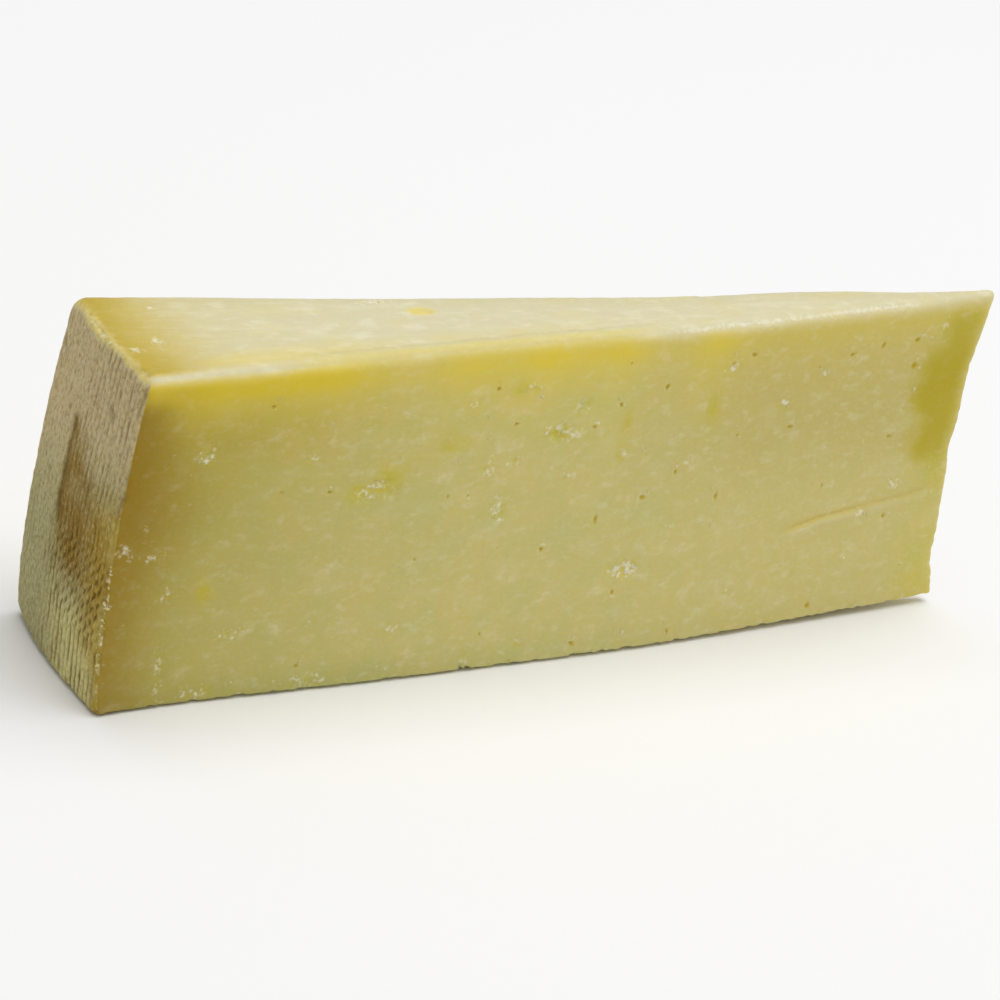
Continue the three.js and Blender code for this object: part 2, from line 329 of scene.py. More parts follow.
def knife_wave(s, t):
    slow = np.sin(s / LONG_WAVE + t / SHORT_WAVE)
    quick = np.sin(s / SHORT_WAVE - t / LONG_WAVE)
    return KNIFE_WAVE * (slow + quick) / 2


def place(u, v, w):
    """Places in the chunk: u runs from rind to point, v from front to back (-1 to 1), w from base to top."""
    half = half_width(u, w)
    sagitta = rim_width(w) ** 2 / 8 / WHEEL_RADIUS
    worn = CORNER_WORN * np.maximum(v, 0) ** 2 * (1 - w) ** WORN_FADE
    rim = sagitta * v * v + worn - RIM_LEAN * (1 - w) - RIM_BARREL * hump(w)
    point = WHEEL_RADIUS + POINT_LEAN * (1 - w) - POINT_HOLLOW * hump(w)
    x = lerp(rim, point, u)
    z = lerp(base_at(u), top_at(u) + w * knife_wave(x, half * v), w)
    stray = FRONT_BULGE * hump(u) + FRONT_FLARE * (1 - u) ** FLARE_FADE
    front = -half - stray * (1 - w) + knife_wave(x, z)
    back = half + BACK_SWELL * hump(past(SWELL_START, u)) ** 2 + knife_wave(z, x)
    return np.stack([x, lerp(front, back, (v + 1) / 2), z], axis=-1)


def edge_radius(across, up):
    """Radius of the edges round a place on the box, at its shares (-1 to 1) of the width and the height."""
    top_front = np.maximum(-across, 0) * np.maximum(up, 0)
    soft = np.maximum(np.maximum(top_front, across), 0) ** SOFT_FADE
    return lerp(CRISP_RADIUS, SOFT_RADIUS, soft)


def line_distance(line, cells, half, radius):
    """Distance of a lattice line from a side's middle. Lines by an edge lie where its rounding starts."""
    middle = (half - radius) * (2 * (line - 1) / (cells - 2) - 1)
    low = radius * line - half
    high = half - radius * (cells - line)
    return np.where(line < 1, low, np.where(line > cells - 1, high, middle))


def box_places(lattice):
    """Places on the box before rounding, its half sizes there and the radius of its edges, in millimetres."""
    share = 2 * lattice / CELLS - 1
    wanted = edge_radius(share[:, 1], share[:, 2])
    half = np.empty_like(lattice)
    half[:, 0] = WHEEL_RADIUS / 2
    half[:, 2] = RIM_HEIGHT / 2
    x = line_distance(lattice[:, 0], CELLS[0], half[:, 0], wanted)
    z = line_distance(lattice[:, 2], CELLS[2], half[:, 2], wanted)
    half[:, 1] = half_width((x / half[:, 0] + 1) / 2, (z / half[:, 2] + 1) / 2)
    most = ROUND_SHARE * half[:, 1]
    nearest = np.minimum(edge_radius(np.sign(share[:, 1]), share[:, 2]), most)
    y = line_distance(lattice[:, 1], CELLS[1], half[:, 1], nearest)
    return np.stack([x, y, z], axis=1), half, np.minimum(wanted, most)[:, None]


def round_off(flat, half, radius):
    """Moves places on the box's surface so that its edges are round."""
    inner = half - radius
    core = np.clip(flat, -inner, inner)
    offset = flat - core
    length = np.maximum(np.linalg.norm(offset, axis=1, keepdims=True), 1e-9)
    return core + offset * np.minimum(1, radius / length)


# The lattice

def box_of_cells():
    """A closed box of cells: its coordinates count cells, and each face knows its side."""
    box = bmesh.new()
    side = box.faces.layers.int.new("side")
    corners = {}
    for number, (axis, end) in enumerate(SIDES.values()):
        rows, columns = np.delete(CELLS, axis)
        for s in range(rows):
            for t in range(columns):
                loop = []
                for ds, dt in ((0, 0), (1, 0), (1, 1), (0, 1)):
                    spot = [s + ds, t + dt]
                    spot.insert(axis, int(end * CELLS[axis]))
                    spot = tuple(spot)
                    if spot not in corners:
                        corners[spot] = box.verts.new(spot)
                    loop.append(corners[spot])
                box.faces.new(loop)[side] = number
    bmesh.ops.recalc_face_normals(box, faces=box.faces)
    return box


def divide(box, pick, cuts=1, keep_edge=lambda edge: True):
    """Divides the faces that pick chooses by their sides, their gaps from the box's ends and their places."""
    side = box.faces.layers.int["side"]
    faces = list(box.faces)
    centres = np.array([face.calc_center_median() for face in faces])
    sides = np.array([face[side] for face in faces])
    on = {name: sides == number for name, number in NUMBER.items()}
    flat, half, _ = box_places(centres)
    shares = flat / half
    places = flat + half * (1, 0, 0)
    places[:, 2] = place((shares[:, 0] + 1) / 2, shares[:, 1], (shares[:, 2] + 1) / 2)[:, 2]
    chosen = pick(on, flat + half, half - flat, places)
    edges = {edge for face, wanted in zip(faces, chosen) if wanted for edge in face.edges if keep_edge(edge)}
    bmesh.ops.subdivide_edges(box, edges=list(edges), cuts=cuts, use_grid_fill=True, use_single_edge=True)


def runs_across(edge):
    """True for an edge of the lattice that runs along the chunk's width."""
    first, second = (vertex.co for vertex in edge.verts)
    return first.x == second.x and first.z == second.z


def spot_reach(places, spot, axes, margin=0.0):
    """Distance of places from the middle of a spot: 1 at the border of the spot and its margin."""
    s, t, width, height = spot
    first = (places[:, axes[0]] - s) / (width / 2 + margin)
    second = (places[:, axes[1]] - t) / (height / 2 + margin)
    return np.hypot(first, second)


def near_spots(places, spots, margin, axes=FACE_AXES):
    """Which places lie within a margin of these spots, each with a width and a height."""
    return np.any([spot_reach(places, spot, axes, margin) < 1 for spot in spots], axis=0)


def line_gap(points, bends):
    """Distance of flat points from a line with bends, how far along it that is, and on which side."""
    bends = np.array(bends, float)
    best = np.full(len(points), np.inf)
    along = np.zeros(len(points))
    over = np.zeros(len(points))
    for number, (start, end) in enumerate(zip(bends[:-1], bends[1:])):
        run = end - start
        share = np.clip((points - start) @ run / (run @ run), 0, 1)
        gap = points - start - share[:, None] * run
        length = np.linalg.norm(gap, axis=1)
        closer = length < best
        best[closer] = length[closer]
        along[closer] = (number + share[closer]) / (len(bends) - 1)
        over[closer] = np.sign(run[0] * gap[closer, 1] - run[1] * gap[closer, 0])
    return best, along, over


def fine_lattice(back_eyes):
    """The box of cells, divided where the surface has fine relief."""
    box = box_of_cells()

    def broad(on, low, high, places):
        return on["rim"] | on["front"] | (on["top"] & (low[:, 0] < BROAD_SHARE * WHEEL_RADIUS))

    def edges_and_patches(on, low, high, places):
        foot = on["front"] & (low[:, 2] < EDGE_WIDTH)
        by_rind = (on["front"] | on["top"]) & (low[:, 0] < EDGE_WIDTH)
        crest = (on["front"] & (high[:, 2] < SOFT_RADIUS)) | (on["top"] & (low[:, 1] < SOFT_RADIUS))
        gap, _, _ = line_gap(places[:, FACE_AXES], CRACK)
        torn = near_spots(places, TORN_PATCHES + FLAKES + FAINT_FLAKES, 0.5) | (gap < 1.2)
        eyes = near_spots(places, FRONT_EYES + SLITS, 0.9)
        pit = on["top"] & near_spots(places, [TOP_PIT], 0.6, TOP_AXES)
        back = on["back"] & near_spots(places, back_eyes, 1.2)
        return foot | by_rind | crest | (on["front"] & (torn | eyes)) | pit | back

    def pits(on, low, high, places):
        pit = near_spots(places, FRONT_EYES + SLITS, 0.6) | near_spots(places, TORN_PATCHES[:1], 0.4)
        return (on["front"] & pit) | (on["back"] & near_spots(places, back_eyes, 0.7))

    divide(box, lambda on, *_: on["rim"], 3, runs_across)
    divide(box, broad)
    divide(box, edges_and_patches)
    divide(box, pits)
    return box


# Relief and masks

def scatter(seed):
    """A function that draws evenly spread numbers between two bounds, the same in each run."""
    modulus = 2147483647
    multiplier = 16807
    state = seed

    def draw(low, high):
        nonlocal state
        state = state * multiplier % modulus
        return lerp(low, high, state / modulus)

    return draw


def scattered_eyes():
    """Eyes of the back face, each by its place in millimetres, its width and its height."""
    draw = scatter(SCATTER_SEED)
    eyes = []
    for _ in range(BACK_EYES):
        along = draw(SCATTER_MARGIN, 1 - SCATTER_MARGIN)
        up = draw(SCATTER_MARGIN, 1 - SCATTER_MARGIN)
        height = place(along, 1.0, up)[2]
        size = (draw(EYE_SMALLEST, EYE_LARGEST), draw(EYE_SMALLEST, EYE_LARGEST))
        eyes.append((along * WHEEL_RADIUS, height, *size))
    return eyes


class Skin:
    """The chunk's surface: its points, and the relief and masks laid on them.

    Places are distances from the rind and from the middle line, and heights: along, across and up.
    """

    def __init__(self, lattice):
        self.flat, half, radius = box_places(lattice)
        shares = round_off(self.flat, half, radius) / half
        u = (shares[:, 0] + 1) / 2
        w = (shares[:, 2] + 1) / 2
        self.points = place(u, shares[:, 1], w)
        self.places = np.stack([u * WHEEL_RADIUS, shares[:, 1] * half_width(u, w), self.points[:, 2]], axis=1)
        self.along, self.across, self.up = self.places.T
        low = self.flat + half
        high = half - self.flat
        self.gap = {name: (high if end else low)[:, axis] for name, (axis, end) in SIDES.items()}
        self.on = {name: lattice[:, axis] == end * CELLS[axis] for name, (axis, end) in SIDES.items()}
        self.relief = np.zeros(len(lattice))
        self.masks = {}

    def noise(self, size, seed, squeeze=(1, 1, 1)):
        """Noise over the surface. A squeeze under 1 draws its marks out along that axis."""
        return perlin(self.points * squeeze, size, seed)

    def raise_by(self, height):
        self.relief += height

    def paint(self, mask, strength):
        """Lays a mask over what is there already, so that the stronger of the two shows."""
        self.masks[mask] = np.maximum(self.masks.get(mask, 0), np.clip(strength, 0, 1))

    def inside(self, side, width):
        """1 on this side, fading to 0 over a width in millimetres towards its borders."""
        others = [gap for name, gap in self.gap.items() if SIDES[name][0] != SIDES[side][0]]
        return self.on[side] * smooth(0, width, np.min(others, axis=0))

    def reach(self, spot, axes=FACE_AXES):
        return spot_reach(self.places, spot, axes)


def notch_point(skin):
    """Notches where bits broke off the edge of the point."""
    near = smooth(NOTCH_FADE, 0, skin.gap["point"])
    for up, depth, half in POINT_NOTCHES:
        skin.points[:, 0] -= depth * near * bell(skin.points[:, 2], up, half)


def add_grain(skin):
    """The fine unevenness that a knife leaves, and the flat foot that stands below the base's borders."""
    fine = 0.5 * skin.noise(2.6, 1) + 0.3 * skin.noise(1.1, 2)
    skin.raise_by(GRAIN_HEIGHT * fine * ~skin.on["rim"] * smooth(0, 1, skin.gap["rim"]))
    skin.raise_by(FOOT_RISE * skin.inside("base", 2.5))


def add_eyes(skin, side, eyes, depth):
    """Eyes: small ragged hollows, darker inside, partly as painted shade in the hollow, with a torn pale
    border.
    """
    ragged = skin.noise(0.9, 3)
    torn = skin.noise(0.7, 4)
    for eye in eyes:
        reach = skin.reach(eye) * (1.15 + 0.8 * ragged) + 5 * ~skin.on[side]
        skin.raise_by(-depth * smooth(1.1, 0.1, reach))
        border = bell(reach, 1.6, 0.5) * np.clip(0.2 + 1.6 * torn, 0, 1)
        skin.raise_by(EYE_BORDER_HEIGHT * border)
        skin.paint("dark", smooth(1.1, 0.2, reach))
        skin.paint("white", 0.5 * border)


def add_torn_patches(skin):
    """Uneven patches where the paste broke away, and the tint of the paste round the crumbs."""
    front = skin.on["front"]
    flaky = skin.noise(0.9, 5, (0.8, 1, 1))
    broken = 1 + 0.6 * skin.noise(1.6, 6)
    for patch, white in zip(TORN_PATCHES, TORN_WHITE):
        inside = smooth(1.4, 0.6, skin.reach(patch) * broken) * front
        skin.raise_by(inside * (FLAKE_HEIGHT * flaky - TORN_DEPTH))
        skin.paint("white", white * inside * smooth(-0.4, 0.2, flaky))
        skin.paint("yellow", 0.4 * inside * smooth(0.1, -0.3, flaky))
    clotted = skin.noise(1.4, 23, (0.8, 1, 1))
    clots = smooth(-0.8, 0.2, clotted) * lerp(0.6, 1, smooth(-0.3, 0.2, flaky))
    singles = [(*crumb, crumb[-1]) for crumb in CRUMBS]
    for patches, white in ((FLAKES, 0.78), (FAINT_FLAKES + singles, 0.55)):
        for patch in patches:
            inside = smooth(1.8, 0.4, skin.reach(patch) * broken) * front
            skin.raise_by(CLOT_HEIGHT * inside * clotted)
            skin.paint("white", white * inside * clots)
            skin.paint("lime", 0.35 * inside * smooth(0, -0.4, clotted))


def add_top_marks(skin):
    """A shallow yellow pit in the top, and the pale tint of the paste round its flakes."""
    top = skin.on["top"]
    broken = 1 + 0.6 * skin.noise(1.6, 6)
    for patch in TOP_FLAKES:
        skin.paint("white", 0.75 * smooth(2.0, 0.2, skin.reach(patch, TOP_AXES) * broken) * top)
    reach = skin.reach(TOP_PIT, TOP_AXES)
    skin.raise_by(-TORN_DEPTH * smooth(1.15, 0.6, reach) * top)
    skin.paint("yellow", 0.5 * smooth(1.5, 0.7, reach) * top)


def add_crack(skin):
    """A crack whose lower lip stands out, with painted shadow above it and a painted highlight on its lip."""
    points = skin.places[:, FACE_AXES] + 0.25 * skin.noise(2.5, 7)[:, None]
    gap, along, over = line_gap(points, CRACK)
    strength = skin.on["front"] * smooth(0, 0.1, along)
    strength = strength * lerp(1, 0.65, smooth(0.4, 0.6, along)) * (along < 0.98)
    groove = bell(gap, 0, CRACK_HALF_WIDTH) * strength
    lip = bell(gap, 0.9, 0.6) * strength * (over < 0)
    skin.raise_by(LIP_HEIGHT * lip - CRACK_DEPTH * groove)
    # Yellow round the crack, browner above it as painted shadow, paler on the lower lip as painted highlight
    tint = bell(gap, 0, 0.8) * strength
    skin.paint("yellow", 0.25 * tint)
    skin.paint("brown", 0.2 * tint * (over > 0))
    skin.paint("pale", 0.4 * lip)


def add_crumbly_edges(skin):
    """Edges from which crumbs have broken off, and chips out of the front face's foot."""
    broken = np.clip(skin.noise(1.7, 8) + 0.5 * skin.noise(0.8, 9) + 0.1, 0, 1)
    for first, second, depth in CRUMBLY_EDGES:
        gap = np.hypot(skin.gap[first], skin.gap[second])
        skin.raise_by(-depth * smooth(1.5, 0.2, gap) * broken)
    for along in FOOT_CHIPS:
        reach = skin.reach((along, 0, CHIP_LENGTH, CHIP_SIZE)) * (1.2 - broken)
        reach += 5 * (skin.gap["front"] > CHIP_SIZE)
        skin.raise_by(-0.35 * CHIP_SIZE * np.sqrt(np.clip(1 - reach ** 2, 0, 1)))
    crumbs = lerp(0.25, 1, smooth(60, 45, skin.along) * smooth(4, 9, skin.along))
    foot = smooth(2.6, 0.3, np.hypot(skin.gap["front"], skin.gap["base"]))
    skin.paint("white", 0.5 * crumbs * foot * smooth(0.15, 0.55, broken))


def thread_marks(skin, twill):
    """Marks of the cloth's threads: 1 on a thread, 0 deep between two, where a twill has dashes."""
    wander = 0.5 * skin.noise(14, 10) + 0.2 * skin.noise(4, 11)
    number = (skin.points[:, 1] + wander) / THREAD_PITCH
    row = skin.up / DASH_LENGTH - DASH_STEP * np.floor(number) + 0.3 * skin.noise(3, 12)
    from_middle = row - np.round(row)
    number += twill * DASH_LEAN * from_middle * DASH_LENGTH / THREAD_PITCH
    between = (0.5 - 0.5 * np.cos(2 * np.pi * number)) ** lerp(1.5, 2.0, twill)
    dash = 0.5 + 0.5 * np.cos(2 * np.pi * from_middle)
    patchy = 0.65 + 0.35 * np.clip(2 * skin.noise(1.3, 20, (1, 1, 0.4)), -1, 1)
    return 1 - between * lerp(patchy, lerp(0.3, 1, dash), twill)


def add_rind(skin):
    """Rind with the marks of the cloth that the wheel was pressed in."""
    on = skin.on["rim"]
    up = skin.up
    ragged = skin.noise(2.2, 19)
    worn = 0.5 + 0.5 * np.clip(skin.noise(5, 18) * 1.6, -1, 1)
    gap, _, over = line_gap(skin.places[:, RIM_AXES], RIND_FOLD)
    right = -over * gap
    spread = lerp(7, 0.3, smooth(15, 26, up))
    to_front = smooth(-spread, 0.7 + spread, right)
    twill = to_front * smooth(27, 22, up) * smooth(9, 13, up)
    plain = lerp(0.35, 0.65, smooth(0, 4, right))
    plain = np.maximum(plain, 0.85 * smooth(26, 16, up) * smooth(-10, -1, right))
    strength = lerp(plain, 1.3, np.maximum(twill, 0.45 * to_front * smooth(14, 8, up)))
    thread = 1 - strength * lerp(0.6, 1, worn) * (1 - thread_marks(skin, twill))
    length = smooth(20, 27, up) * smooth(42, 39.5, up)
    fold = length * smooth(-0.4, 0.3, right) * np.exp(-np.maximum(right, 0) / (2 * FOLD_HALF_WIDTH))
    shadow_width = lerp(0.8, 2.6, smooth(41, 27, up))
    shadow = length * smooth(-0.3, 0.2, right) * bell(np.maximum(right, 0), 0, shadow_width)
    height = THREAD_HEIGHT * (thread - 0.7) + LUMP_HEIGHT * skin.noise(9, 13)
    height = height + RIND_GRAIN_HEIGHT * skin.noise(0.8, 21, (1, 1, 0.6)) - FOLD_DEPTH * fold
    skin.raise_by(skin.inside("rim", 0.7) * height)
    for pit in RIND_PITS:
        reach = skin.reach((*pit, *RIND_PIT_SIZE), RIM_AXES) * (1 + 0.7 * ragged)
        skin.raise_by(-RIND_PIT_DEPTH * on * smooth(1.2, 0.3, reach))
        skin.paint("dark", 0.45 * on * smooth(1.3, 0.2, reach))
    slope = 41 - 0.7 * (3.2 - skin.across) - up + 2.5 * ragged
    patch = to_front * smooth(-3, 3.5, slope) * smooth(11, 21, up + 2.5 * ragged) * lerp(0.65, 1, worn)
    skin.masks["thread"] = thread
    skin.paint("brown", on * np.maximum(patch, fold))
    skin.paint("dark", 0.75 * on * shadow * lerp(0.5, 1, worn) * lerp(0.7, 1, smooth(-0.3, 0.3, ragged)))
    skin.paint("pale", on * smooth(22, 44, up + 0.3 * skin.across))
    add_rind_borders(skin)
    skin.paint("olive", 0.9 * skin.masks["rind"] * smooth(-7, 8, right) * smooth(18, 9, up))


def add_rind_borders(skin):
    """The crumbly paste that shows where the rind ends at the top and, lower down, at the front."""
    on = skin.on["rim"]
    up = skin.up
    uneven = 0.9 * skin.noise(1.3, 14) + 1.2 * skin.noise(4.5, 22)
    flecks = skin.noise(1.0, 24)
    top = smooth(0.6, 1.5, skin.gap["top"] + 0.5 * uneven)
    front = smooth(0.1, 2.6, skin.gap["front"] + 1.3 * uneven)
    skin.masks["rind"] = on * top * lerp(1, front, smooth(34, 25, up))
    edge = on * (1 - skin.masks["rind"])
    low = smooth(50, 40, up)
    amber = smooth(13, 1, skin.gap["front"]) * smooth(40, 29, up) * smooth(2, 12, up)
    skin.paint("yellow", np.maximum(edge * lerp(0.5, 0.1, low), 0.9 * skin.masks["rind"] * amber))
    skin.paint("brown", edge * lerp(0.2, 0.8, low) * lerp(0.6, 1, smooth(0.2, -0.3, flecks)))
    skin.paint("shade", 0.5 * edge * low)
    skin.paint("brown", 0.5 * on * low * smooth(3.5, 1, skin.gap["front"]) * smooth(36, 28, up))
    skin.paint("white", 0.6 * edge * smooth(-0.1, 0.4, flecks))


def add_paste_bands(skin):
    """Browner paste under the rind and yellower in spots; painted shade along the foot; yellow along the top
    edge, partly painted glow; a band at the point, partly painted shade and glow.
    """
    along = skin.along
    up = skin.up
    side = ~skin.on["rim"] & ~skin.on["top"]
    wander = skin.noise(12, 15)
    ragged = skin.noise(3.5, 17)
    below = skin.gap["top"]
    tip = skin.gap["point"]
    mid_height = lerp(0.75, 1, bell(up, 38, 22)) * smooth(0, 6.5, below)
    brown_width = 7.8 + wander + 3 * bell(up, 33, 9)
    skin.paint("brown", side * bell(along, 0, brown_width) * mid_height)
    amber = 0.22 * smooth(60, 12, along) + 0.16 * smooth(14, 5, along)
    skin.paint("brown", side * amber * smooth(20, 7, below) * smooth(0.5, 3, below))
    skin.paint("shade", 0.72 * side * np.exp(-(along / 33) ** 1.5) * mid_height * smooth(2, 13, below))
    # Painted shade along the foot: darker and greener near the floor, fading towards the point
    skin.paint("foot_shade", 0.16 * side * smooth(6, 1, up) * lerp(1, 0.2, smooth(50, 75, along)))
    skin.paint("warm", 0.8 * side * smooth(90, 130, along) * smooth(3, 16, tip))
    skin.paint("rosy", side * smooth(80, 125, along) * smooth(22, 40, up) * smooth(3, 14, tip))
    # Yellow under the top edges, fading downwards: partly yellower paste, partly painted glow of light that
    # comes in through the top
    stain_and_glow = 0.35 + sum(strength * bell(along, at, half) for at, half, strength in YELLOW_EDGE_STAINS_AND_GLOW)
    depth = 6 + wander + 4 * bell(along, 0, 18)
    golden = golden_edge(along)
    fade = np.exp(-np.maximum(below - 3.5, 0) / depth) * lerp(smooth(-0.4, 2.4, below), 1, 0.4 * golden)
    skin.paint("yellow", 0.9 * side * np.minimum(stain_and_glow, 1) * fade)
    for spot in YELLOW_SPOTS:
        skin.paint("lime", 0.6 * side * bell(skin.reach(spot) * (1 + 0.6 * ragged), 0, 1))
    # The olive band at the point, with lime round it and yellow by the tip: partly painted shade where the
    # face turns towards the point, partly painted glow through the thin point
    past_border = smooth(-4, 2.5, along - np.interp(up, BAND_HEIGHTS, BAND_BORDER) + 1.6 * ragged)
    heights = smooth(25, 33, up + 2 * ragged) * smooth(0.5, 5, below) * lerp(0.7, 1, smooth(4, 12, below))
    band = past_border * heights * lerp(0.1, 1, smooth(0, 3.8, tip))
    core = bell(up, 44, 6)
    skin.paint("olive", side * band * lerp(0.88, 1, core))
    by_band = 0.5 * past_border * smooth(19, 27, up) * smooth(0.5, 4, below)
    by_tip = smooth(14, 2, tip + 2 * ragged) * lerp(0.5, 1, smooth(17, 9, up))
    skin.paint("lime", side * np.maximum(by_band, 0.26 * by_tip) * smooth(0, 2.5, tip))
    skin.paint("yellow", 0.22 * side * by_tip)
    add_top_bands(skin, along + 1.5 * wander + ragged)
    # A paler strip under the top edges, partly painted highlight on the rounded edge, and a white painted
    # highlight line towards the point
    skin.paint("pale", side * smooth(3.2, 0.6, below) * (1 - 0.45 * golden))
    skin.paint("white", side * painted_highlight_line(along, below))


def golden_edge(along):
    """1 where the top edges are yellow, partly painted glow, 0 near the rind and the point, where they are
    pale, partly painted highlight.
    """
    return smooth(20, 34, along) * smooth(98, 82, along)


def painted_highlight_line(along, gap):
    """A painted highlight along the top edges towards the point, by the distance from the edge."""
    return 0.72 * smooth(1.2, 0.2, gap) * smooth(88, 102, along) * smooth(160, 138, along)


def add_top_bands(skin, along):
    """The top, paler partly as painted sheen, amber by the rind, and yellow by the front edge, with a painted
    highlight along it towards the point.
    """
    top = skin.on["top"]
    edge = skin.gap["front"]
    amber = 1.05 * bell(along, 0, 10) + 0.15 * bell(along, 0, 26)
    flecks = skin.noise(1.0, 24)
    fringe = smooth(1.6, 0.2, skin.gap["rim"] + 0.8 * flecks)
    by_rind = amber * smooth(0.2, 1.8, edge) * (1 - 0.55 * fringe)
    by_front = smooth(9, 3, edge) * smooth(0.5, 3, edge) * smooth(110, 60, along)
    golden = golden_edge(skin.along)
    border = smooth(2.8, 1.4, edge)
    # The top is paler than the faces: partly drier cut paste, partly painted sheen
    skin.paint("pale", top * (1 - 0.5 * golden * border))
    skin.paint("yellow", 0.25 * top * golden * border)
    crease = bell(edge, 2.8 + 0.5 * skin.noise(6, 25), 0.55)
    skin.paint("shade", 0.18 * top * golden * crease)
    # A painted highlight along the front edge towards the point
    skin.paint("white", top * painted_highlight_line(along, edge))
    skin.paint("white", 0.6 * top * fringe * smooth(-0.1, 0.4, flecks))
    skin.paint("yellow", top * np.maximum(0.64 * by_rind, by_front * lerp(0.42, 0.13, smooth(20, 50, along))))
    skin.paint("brown", 0.48 * top * by_rind)
    skin.paint("shade", 0.1 * top * smooth(7, 1, skin.gap["back"]))


# Crumbs that stick to the surface

def front_spot(along, up):
    """Place on the front face at a distance from the rind and a height."""
    u = np.clip(along / WHEEL_RADIUS, 0, 1)
    return place(u, -1.0, np.clip((up - base_at(u)) / (top_at(u) - base_at(u)), 0, 1))


def top_spot(along, across):
    """Place on the top at a distance from the rind and a distance from the middle line."""
    u = along / WHEEL_RADIUS
    return place(u, across / half_width(u, 1.0), 1.0)


def rim_spot(across, up):
    """Place on the rim at a distance from the middle line and a height."""
    w = up / RIM_HEIGHT
    return place(0.0, across / half_width(0.0, w), w)


class Crumbs:
    """Small lumpy crumbs, half sunk in the surface and joined in one mesh."""

    def __init__(self, chunk, shift):
        points = [vertex.co / MM for vertex in chunk.vertices]
        self.surface = BVHTree.FromPolygons(points, [polygon.vertices for polygon in chunk.polygons])
        self.shift = shift
        ball = bmesh.new()
        bmesh.ops.create_icosphere(ball, subdivisions=2, radius=1.0)
        self.ball = np.array([vertex.co for vertex in ball.verts])
        self.triangles = np.array([[vertex.index for vertex in face.verts] for face in ball.faces])
        ball.free()
        self.draw = scatter(CRUMB_SEED)
        self.points = []
        self.white = []
        self.shade = []

    def add(self, spot_on, s, t, size, white):
        """Adds a crumb of about this size and whiteness, turned and drawn out at random."""
        spot = Vector(spot_on(s, t))
        origin, out, _, _ = self.surface.find_nearest(spot - self.shift)
        along = out.orthogonal().normalized()
        directions = np.array([along, out.cross(along), out])
        lumps = 1 + 0.6 * perlin(self.ball + self.draw(0, 100), 0.8)
        scale = np.array([self.draw(0.8, 1.5), self.draw(0.6, 1.1), self.draw(0.18, 0.32)]) * size / 2
        turn = self.draw(0, math.tau)
        cos, sin = math.cos(turn), math.sin(turn)
        shape = self.ball * lumps[:, None] * scale @ np.array([[cos, sin, 0], [-sin, cos, 0], [0, 0, 1]])
        self.points.append(np.array(origin) + shape @ directions)
        self.white.append(self.draw(0.5, 1.0) * white)
        by_rind = math.exp(-max(spot.x / CRUMB_SHADE_REACH, 0) ** 1.5)
        self.shade.append(CRUMB_SHADE * (spot_on is front_spot) * by_rind)

    def add_cluster(self, spot_on, cluster, count, white=CRUMB_WHITE):
        """Scatters crumbs over an oval on a face, each at a random place in it."""
        s, t, width, height = cluster
        for _ in range(count):
            angle = self.draw(0, math.tau)
            reach = math.sqrt(self.draw(0, 1)) / 2
            size = lerp(CRUMB_SMALLEST, CRUMB_LARGEST, self.draw(0, 1) ** 2)
            first = s + width * reach * math.cos(angle)
            second = t + height * reach * math.sin(angle)
            if spot_on is top_spot or second > CRUMB_LOWEST:
                self.add(spot_on, first, second, size, white)

    def add_patches(self, spot_on, patches, per_area, white=CRUMB_WHITE):
        """Adds a cluster in each patch, its crumbs counted by the patch's width times its height."""
        for patch in patches:
            self.add_cluster(spot_on, patch, round(per_area * patch[2] * patch[3]), white)

    def mesh(self):
        """The joined mesh, kept above the floor."""
        points = np.concatenate(self.points)
        points[:, 2] = np.maximum(points[:, 2], 0)
        starts = np.arange(len(self.points)) * len(self.ball)
        triangles = (self.triangles[None] + starts[:, None, None]).reshape(-1, 3)
        mesh = bpy.data.meshes.new("crumbs")
        mesh.from_pydata((points * MM).tolist(), [], triangles.tolist())
        strengths = {"white": self.white, "shade": self.shade}
        add_masks(mesh, {name: np.repeat(values, len(self.ball)) for name, values in strengths.items()})
        return mesh


def add_masks(mesh, masks):
    """Shades a mesh smooth and lays on its points the masks that the material reads."""
    mesh.polygons.foreach_set("use_smooth", np.ones(len(mesh.polygons), bool))
    for name, values in masks.items():
        mesh.attributes.new(name, "FLOAT", "POINT").data.foreach_set("value", values)


def crumbs_mesh(chunk, shift):
    """Crumbs in clusters, singly, by the eyes, along the foot and at the rind's top and front borders."""
    crumbs = Crumbs(chunk, shift)
    brightest, *others = TORN_PATCHES
    crumbs.add_cluster(front_spot, brightest, FLAKES_IN_BRIGHTEST, BRIGHTEST_WHITE)
    crumbs.add_patches(front_spot, others, FLAKES_PER_AREA / 2)
    crumbs.add_patches(front_spot, FLAKES, FLAKES_PER_AREA)
    crumbs.add_patches(front_spot, FAINT_FLAKES, FAINT_PER_AREA, FAINT_WHITE)
    for along, up, width in CRUMBS:
        crumbs.add_cluster(front_spot, (along, up, width, width), 1 + round(width))
    for along, up, width, height in FRONT_EYES:
        crumbs.add_cluster(front_spot, (along, up + height, 2 * width, height / 2), 1)
    crumbs.add_patches(top_spot, TOP_FLAKES, FLAKES_PER_AREA / 2)
    crumbs.add_cluster(front_spot, FOOT_OVAL, FOOT_CRUMBS, FOOT_WHITE)
    top_border = (0, RIM_HEIGHT - 0.6, RIM_WIDTH_TOP - 2 * SOFT_RADIUS, 0.8)
    front_border = (0.9 - RIM_WIDTH_BASE / 2, BORDER_TOP / 2, 1.4, BORDER_TOP - 2 * CRUMB_LOWEST)
    for border in (top_border, front_border):
        crumbs.add_cluster(rim_spot, border, BORDER_CRUMBS)
    return crumbs.mesh()


